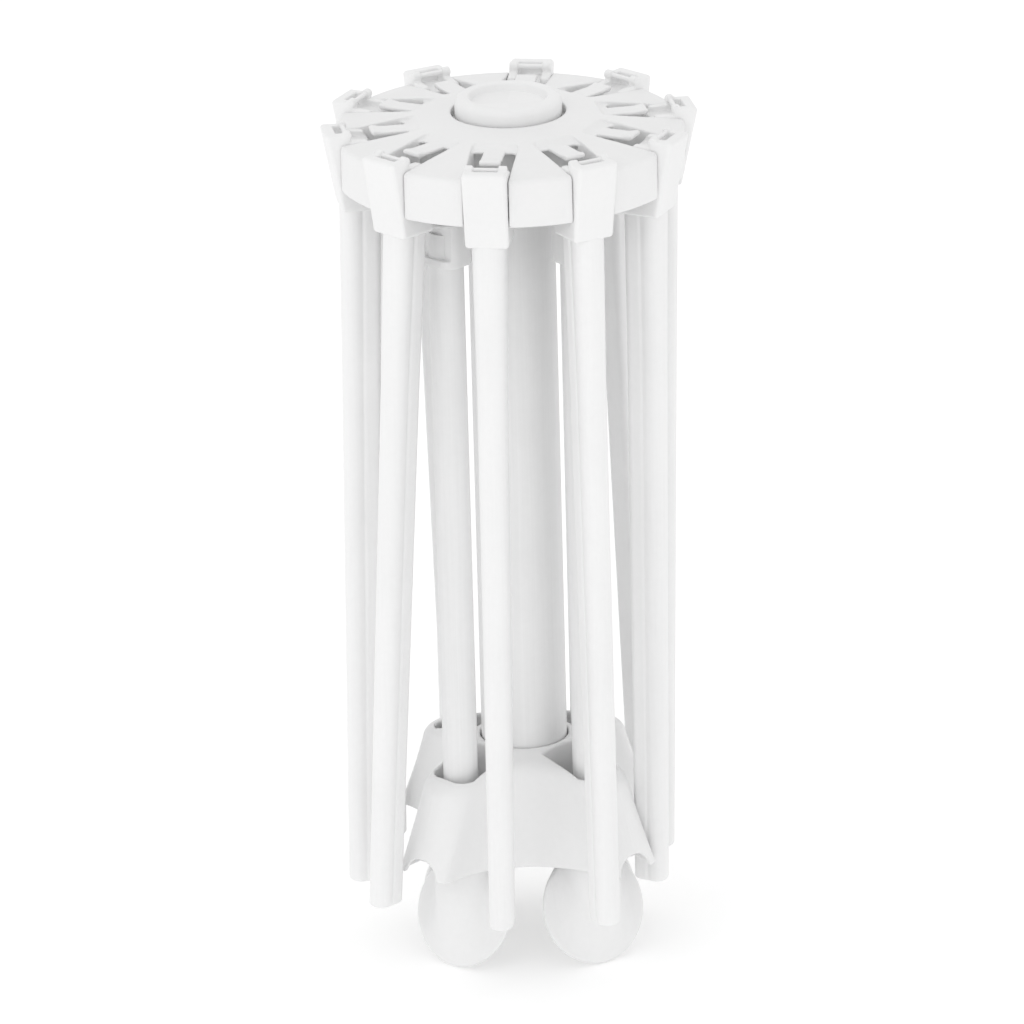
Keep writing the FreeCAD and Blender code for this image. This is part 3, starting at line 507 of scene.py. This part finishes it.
# height, depth and width of the rod's section
ROD_STATIONS = [(479.0, 24.0, 20.0), (390.0, 22.6, 17.2), (49.2, 19.6, 14.4)]
ROD_TIP_EDGE = 2.8


def rod_mesh(drift):
    heights, depths, widths = zip(*ROD_STATIONS[::-1])
    tip, root = heights[0], heights[-1]
    levels = [(tip + ROD_TIP_EDGE * (1 - math.cos(turn)), ROD_TIP_EDGE * (1 - math.sin(turn)))
              for turn in np.linspace(0, math.pi / 2, 7)]
    levels += [(height, 0.0) for height in np.linspace(tip + 12, root, 30)]
    levels.append((root + 4, 1.0))
    rings = []
    for height, edge in levels:
        depth, width = np.interp(height, heights, depths), np.interp(height, heights, widths)
        p, q = rod_section(depth - 2 * edge, width - 2 * edge)
        shift = drift * (root - height) / (root - tip)
        rings.append(np.stack([p, q + shift, np.full(len(p), height)], 1))
    return loft(rings)


def make_arms():
    bracket = surface_net(bracket_field, (steps((73.6, 113.6, 0.72)), steps((-14.6, 14.6, 0.7)),
                                          steps((477.4, 530.4, 0.72))))
    for number in range(1, ARM_COUNT + 1):
        tag = f"{number:02d}"
        joint = joints[f"arm_{tag}_swing"]
        out = np.array([joint["pos_m"][0], joint["pos_m"][1], 0.0])
        out /= np.linalg.norm(out)
        side = np.array([-out[1], out[0], 0.0])
        up = np.array([0.0, 0.0, 1.0])
        points = node_points(f"arm_rod_{tag}")
        spread_out = np.stack([points @ out, points @ side, points[:, 2]], 1)
        top = spread_out[np.abs(spread_out[:, 2] - BRACKET_BOTTOM) < 3]
        low = spread_out[spread_out[:, 2] < spread_out[:, 2].min() + 4.5]
        root = (top.min(0) + top.max(0)) / 2
        tip = (low.min(0) + low.max(0)) / 2
        lean = math.atan2(tip[0] - root[0], root[2] - tip[2])
        drift = tip[1] - root[1]
        # leaning about the hinge pin: u' = u cos - z sin, z' = z cos + u sin
        u_axis = out * math.cos(lean) + up * math.sin(lean)
        z_axis = up * math.cos(lean) - out * math.sin(lean)
        pin = out * PIVOT_RING + up * PIVOT_HEIGHT
        vertices = stand(bracket[0] - (PIVOT_RING, 0, PIVOT_HEIGHT), pin, u_axis, side, z_axis)
        add_piece(f"arm_bracket_{tag}_moulded", vertices, bracket[1], f"arm_{tag}",
                  [f"arm_bracket_{tag}"], MATERIALS["bracket_plastic"])
        vertices, faces = rod_mesh(drift)
        vertices = stand(vertices + (BRACKET_RING - PIVOT_RING, 0, -PIVOT_HEIGHT), pin, u_axis, side, z_axis)
        add_piece(f"arm_rod_{tag}_drawn", vertices, faces, f"arm_{tag}",
                  [f"arm_rod_{tag}"], MATERIALS["arm_plastic"])


# ---------------------------------------------------------------- mast and cap

MAST_WALL = 1.8
CAP_PLUG = 20.9
CAP_EDGE = 4.6
DISH_RIM, DISH_FOOT = 23.4, 22.0
DISH_DEPTH = 5.4


def make_mast():
    mast_low, mast_high = node_box("mast_outer_tube")
    radius = mast_high[0]
    bore = radius - MAST_WALL
    vertices, faces = lathe(soften([(radius, mast_low[2], 0.3), (radius, mast_high[2], 0.3),
                                    (bore, mast_high[2], 0.3), (bore, mast_low[2], 0.3)], 4), closed=True)
    add_piece("mast_tube", vertices, faces, "base", ["mast_outer_tube"], MATERIALS["mast_plastic"])
    cap_low, cap_high = node_box("mast_cap")
    seat = node_box("mast_inner_tube")[1][2]
    rim, top = cap_high[0], cap_high[2]
    profile = soften([(0.01, cap_low[2], 0), (CAP_PLUG, cap_low[2], 0.8), (CAP_PLUG, seat, 0),
                      (rim, seat, 0.8), (rim, top, CAP_EDGE), (DISH_RIM, top, 1.7),
                      (DISH_FOOT, top - DISH_DEPTH + 0.8, 0.8), (0.01, top - DISH_DEPTH, 0)], 9)
    vertices, faces = lathe(profile)
    add_piece("mast_cap_moulded", vertices, faces, "inner_mast", ["mast_cap"],
              MATERIALS["cap_plastic"])


# ---------------------------------------------------------------- skirt

skirt_low, skirt_high = node_box("skirt")
SKIRT_BOTTOM, SKIRT_TOP = skirt_low[2], skirt_high[2]


def lobe_path(reach, half, crown, waist):
    """One eighth of the skirt's outline: from a lobe's end round to the middle of a flank."""
    end_radius = (half * half + crown * crown) / (2 * crown)
    end_centre = reach + crown - end_radius
    sweep = math.atan2(half, reach - end_centre)
    path = [(end_centre + end_radius * math.cos(turn), end_radius * math.sin(turn))
            for turn in np.linspace(0, sweep, 9)]
    chord = (reach - half) / math.sqrt(2)
    dip = (reach + half) / math.sqrt(2) - waist
    flank_radius = (chord * chord + dip * dip) / (2 * dip)
    centre = (waist + flank_radius) / math.sqrt(2)
    start = math.atan2(half - centre, reach - centre)
    for turn in np.linspace(start, -0.75 * math.pi, 14)[1:]:
        path.append((centre + flank_radius * math.cos(turn), centre + flank_radius * math.sin(turn)))
    path = np.array(path)
    path[1:-1] = (path[:-2] + 2 * path[1:-1] + path[2:]) / 4
    return path


SKIRT_FOOT = lobe_path(91.0, 20.0, 3.6, 54.6)
SKIRT_HEAD = lobe_path(56.0, 18.0, 17.5, 45.6)
SKIRT_WALL = 3.0
SKIRT_SOCKET = 32.0
SKIRT_BORE = 26.9
# the roof falls away from the mast like a low cone
ROOF_START, ROOF_DROP, ROOF_SLOPE = 27.0, 1.8, 0.25
ROOF_WALL = 4.0
ROOF_EDGE = 5.5
# a leg's channel, and the wider room below it for the ankle of its foot
CHANNEL_IN, CHANNEL_OUT, CHANNEL_HALF, CHANNEL_CORNER = 29.5, 67.7, 15.3, 9.0
ROOM_IN, ROOM_OUT, ROOM_HALF, ROOM_CORNER, ROOM_TOP = 33.0, 73.4, 18.0, 14.0, 98.0
RIB_WALL = 3.0
ARCH_HEIGHT, ARCH_RADIUS, ARCH_START = 64.0, 12.8, 50.0


def skirt_field(x, y, z):
    along, across = (x + y) / math.sqrt(2), (y - x) / math.sqrt(2)
    u = np.maximum(np.abs(along), np.abs(across))
    v = np.minimum(np.abs(along), np.abs(across))
    share = np.clip((z - SKIRT_BOTTOM) / (SKIRT_TOP - SKIRT_BOTTOM), 0, 1)
    path = [(low[0] + (high[0] - low[0]) * share, low[1] + (high[1] - low[1]) * share)
            for low, high in zip(SKIRT_FOOT, SKIRT_HEAD)]
    # the path goes on past both mirror lines, and is closed through the middle of the skirt
    path = [(x0, -y0) for x0, y0 in path[2:0:-1]] + path + [(y0, x0) for x0, y0 in path[-2:-4:-1]]
    closing = [(-20.0 + 0 * share, path[-1][1]), (-20.0 + 0 * share, path[0][1])]
    side = outline(u, v, path + closing, walls=len(path) - 1)
    radius = np.hypot(u, v)
    roof = SKIRT_TOP - ROOF_DROP - ROOF_SLOPE * np.maximum(radius - ROOF_START, 0)
    outside = meet(side, z - roof, ROOF_EDGE)
    inside = meet(side + SKIRT_WALL, z - roof + ROOF_WALL, 2.0)
    body = carve(meet(outside, SKIRT_BOTTOM - z, 1.2), inside, 1.0)
    socket = radius - SKIRT_SOCKET
    cheek = np.maximum(np.maximum(v - 18.2, u - 70.6), ROOM_TOP - z)
    room_wall = np.maximum(np.maximum(v - 21.2, u - 74.6), z - ROOM_TOP - RIB_WALL)
    ribs = np.maximum(np.minimum(np.minimum(socket, cheek), room_wall), SKIRT_BOTTOM - z)
    body = np.minimum(body, np.maximum(outside, ribs))
    channel = meet(meet(u - CHANNEL_OUT, v - CHANNEL_HALF, CHANNEL_CORNER), CHANNEL_IN - u, 1.0)
    room = meet(meet(u - ROOM_OUT, v - ROOM_HALF, ROOM_CORNER), ROOM_IN - u, 1.0)
    room = np.maximum(np.maximum(room, z - ROOM_TOP), side + 2.4)
    arch = np.maximum(np.hypot(v, z - ARCH_HEIGHT) - ARCH_RADIUS, ARCH_START - u)
    body = carve(body, channel, 1.4)
    body = carve(body, room, 0.4)
    body = carve(body, arch, 1.4)
    return carve(body, radius - SKIRT_BORE, 1.0)


def make_skirt():
    width = steps((-81.6, 81.6, 1.2))
    vertices, faces = surface_net(skirt_field, (width, width, steps((64.4, 137, 1.2))))
    add_piece("skirt_moulded", vertices, faces, "base", ["skirt"], MATERIALS["skirt_plastic"])


# ---------------------------------------------------------------- legs and feet

FOOT_TILT = math.radians(68)
FOOT_RADIUS = 34.5
FOOT_CENTRE = 32.55
ANKLE_RADIUS = 17.5
ANKLE_TOP = 97.8
FOOT_HALF_THICKNESS = 1.5
ANKLE_CENTRE = 20.0
ANKLE_FILLET = 9.0
LEG_RADIUS, LEG_WALL = 10.5, 1.5
LEG_BOTTOM, LEG_TOP = 64.0, 470.0
# on a leg's own axis: the tube's middle, and the level that sets which way is outwards
LEG_MIDDLE, LEG_LEVEL = 266.5, 82.0
HEAD_HALF_DEPTH, HEAD_HALF_WIDTH, HEAD_CORNER = 12.0, 14.8, 8.8
HEAD_BOTTOM, HEAD_TOP = 450.0, 478.0
FOOT_TURNS = {"front_left": 7.5, "front_right": -15.0, "back_right": 0.0, "back_left": 0.0}


def foot_field(u, v, z):
    lift = u * math.sin(FOOT_TILT) + (z - FOOT_CENTRE) * math.cos(FOOT_TILT)
    across = u * math.cos(FOOT_TILT) - (z - FOOT_CENTRE) * math.sin(FOOT_TILT)
    disc = meet(np.hypot(across, v) - FOOT_RADIUS, np.abs(lift) - FOOT_HALF_THICKNESS, 1.35)
    ankle = np.sqrt(u * u + v * v + np.minimum(z - ANKLE_CENTRE, 0) ** 2) - ANKLE_RADIUS
    ankle = meet(ankle, z - ANKLE_TOP, 1.0)
    whole = join(disc, ankle, ANKLE_FILLET)
    return meet(whole, -FOOT_HALF_THICKNESS - lift, 1.2)


def head_field(u, v, z):
    v = np.abs(v)
    block = meet(np.abs(u) - HEAD_HALF_DEPTH, v - HEAD_HALF_WIDTH, HEAD_CORNER)
    block = meet(block, within(z, HEAD_BOTTOM, HEAD_TOP), 1.3)
    panel = meet(meet(8.0 - u, v - 13.0, 0.5), within(z, 455.3, 475.5), 1.2)
    return carve(block, panel, 0.5)


def make_legs():
    foot = surface_net(foot_field, (steps((-20, 20.6, 0.9)), steps((-36, 36, 0.9)),
                                    steps((-1.8, 99.6, 0.9))))
    head = surface_net(head_field, (steps((-13.4, 13.4, 0.7)), steps((-16, 16, 0.7)),
                                    steps((448.6, 479.4, 0.7))))
    for name, turn in FOOT_TURNS.items():
        low, high = node_box(f"leg_tube_{name}")
        middle = (low + high) / 2
        axis = -np.array(joints[f"leg_{name}_slide"]["axis"], float)
        lift = Vector((0, 0, 1)).rotation_difference(Vector(axis))
        origin = middle - axis * LEG_MIDDLE
        level = origin + axis * LEG_LEVEL
        out = Vector((level[0], level[1], 0)).normalized()
        side = Vector((-out.y, out.x, 0))
        out, side = lift @ out, lift @ side
        body = f"leg_{name}"
        bore = LEG_RADIUS - LEG_WALL
        tube = soften([(LEG_RADIUS, LEG_BOTTOM, 0.3), (LEG_RADIUS, LEG_TOP, 0.3), (bore, LEG_TOP, 0.3),
                       (bore, LEG_BOTTOM, 0.3)], 4)
        vertices, faces = lathe(tube, closed=True, sides=96)
        add_piece(f"leg_{name}_drawn", stand(vertices, origin, out, side, axis), faces, body,
                  [f"leg_tube_{name}"], MATERIALS["leg_plastic"])
        add_piece(f"leg_{name}_head", stand(head[0], origin, out, side, axis), head[1], body,
                  [f"leg_head_{name}"], MATERIALS["foot_plastic"])
        twist = Quaternion(Vector(axis), math.radians(turn))
        add_piece(f"leg_{name}_foot", stand(foot[0], origin, twist @ out, twist @ side, axis), foot[1],
                  body, [f"foot_{name}"], MATERIALS["foot_plastic"])


# ---------------------------------------------------------------- build

make_hub()
make_arms()
make_mast()
make_skirt()
make_legs()

for node, slot in (("mast_inner_tube", "mast_plastic"), ("mast_twist_collar", "mast_plastic"),
                   ("mast_guide_bush", "bush_plastic"), ("mast_foot_plug", "bush_plastic"),
                   ("mast_slider_bush", "bush_plastic"), ("thrust_washer", "bush_plastic"),
                   ("hub_bush", "bush_plastic"), ("arm_hinge_pins", "pin_metal")):
    kept = frame["nodes"][node]
    kept.data.materials.clear()
    kept.data.materials.append(MATERIALS[slot])


# ---------------------------------------------------------------- floor, light and camera

FLOOR_HALF, FLOOR_LEVEL = 6.0, -0.0006
FLOOR_GLOW = 0.3
STUDIO_STRENGTH = 0.95
KEY_SPOT, KEY_TARGET, KEY_SIZE, KEY_POWER = (-1.6, -2.6, 2.2), (0, 0, 0.3), 1.6, 8


def add_floor():
    """A pale floor that glows a little, so that it reads as the white of a studio sweep."""
    mesh = bpy.data.meshes.new("floor")
    half, low = FLOOR_HALF, FLOOR_LEVEL
    mesh.from_pydata([(-half, -half, low), (half, -half, low), (half, half, low), (-half, half, low)],
                     [], [(0, 1, 2, 3)])
    floor = bpy.data.objects.new("floor", mesh)
    bpy.context.scene.collection.objects.link(floor)
    material = bpy.data.materials.new("Pale floor")
    material.use_nodes = True
    shader = material.node_tree.nodes["Principled BSDF"]
    shader.inputs["Base Color"].default_value = (0.8, 0.8, 0.8, 1)
    shader.inputs["Emission Color"].default_value = (1, 1, 1, 1)
    shader.inputs["Emission Strength"].default_value = FLOOR_GLOW
    shader.inputs["Roughness"].default_value = 0.9
    shader.inputs["Specular IOR Level"].default_value = 0.1
    mesh.materials.append(material)


def add_area(name, location, target, size, power):
    light = bpy.data.lights.new(name, "AREA")
    light.shape = "DISK"
    light.size = size
    light.energy = power
    lamp = bpy.data.objects.new(name, light)
    lamp.location = location
    lamp.rotation_euler = (Vector(target) - Vector(location)).to_track_quat("-Z", "Y").to_euler()
    bpy.context.scene.collection.objects.link(lamp)


CAMERA_LENS, SENSOR_WIDTH = 280.0, 36.0
CAMERA_SPOT, CAMERA_TARGET = Vector((-0.004, -4.481, 1.996)), Vector((-0.004, 0.0, 0.276))
CAMERA_ROLL = math.radians(-1.5)


def add_camera():
    """A long lens from in front and above, turned slightly about its own axis."""
    camera_data = bpy.data.cameras.new("camera")
    camera_data.lens = CAMERA_LENS
    camera_data.sensor_width = SENSOR_WIDTH
    camera_data.clip_start, camera_data.clip_end = 0.1, 100.0
    camera = bpy.data.objects.new("camera", camera_data)
    camera.location = CAMERA_SPOT
    aim = (CAMERA_TARGET - CAMERA_SPOT).to_track_quat("-Z", "Y")
    camera.rotation_mode = "QUATERNION"
    camera.rotation_quaternion = aim @ Quaternion((0, 0, 1), CAMERA_ROLL)
    bpy.context.scene.collection.objects.link(camera)
    bpy.context.scene.camera = camera


add_floor()
world = bpy.data.worlds.new("Studio")
world.use_nodes = True
world.node_tree.nodes["Background"].inputs["Color"].default_value = (1, 1, 1, 1)
world.node_tree.nodes["Background"].inputs["Strength"].default_value = STUDIO_STRENGTH
bpy.context.scene.world = world
add_area("key", KEY_SPOT, KEY_TARGET, KEY_SIZE, KEY_POWER)
add_camera()
bpy.context.scene.view_settings.view_transform = "Standard"
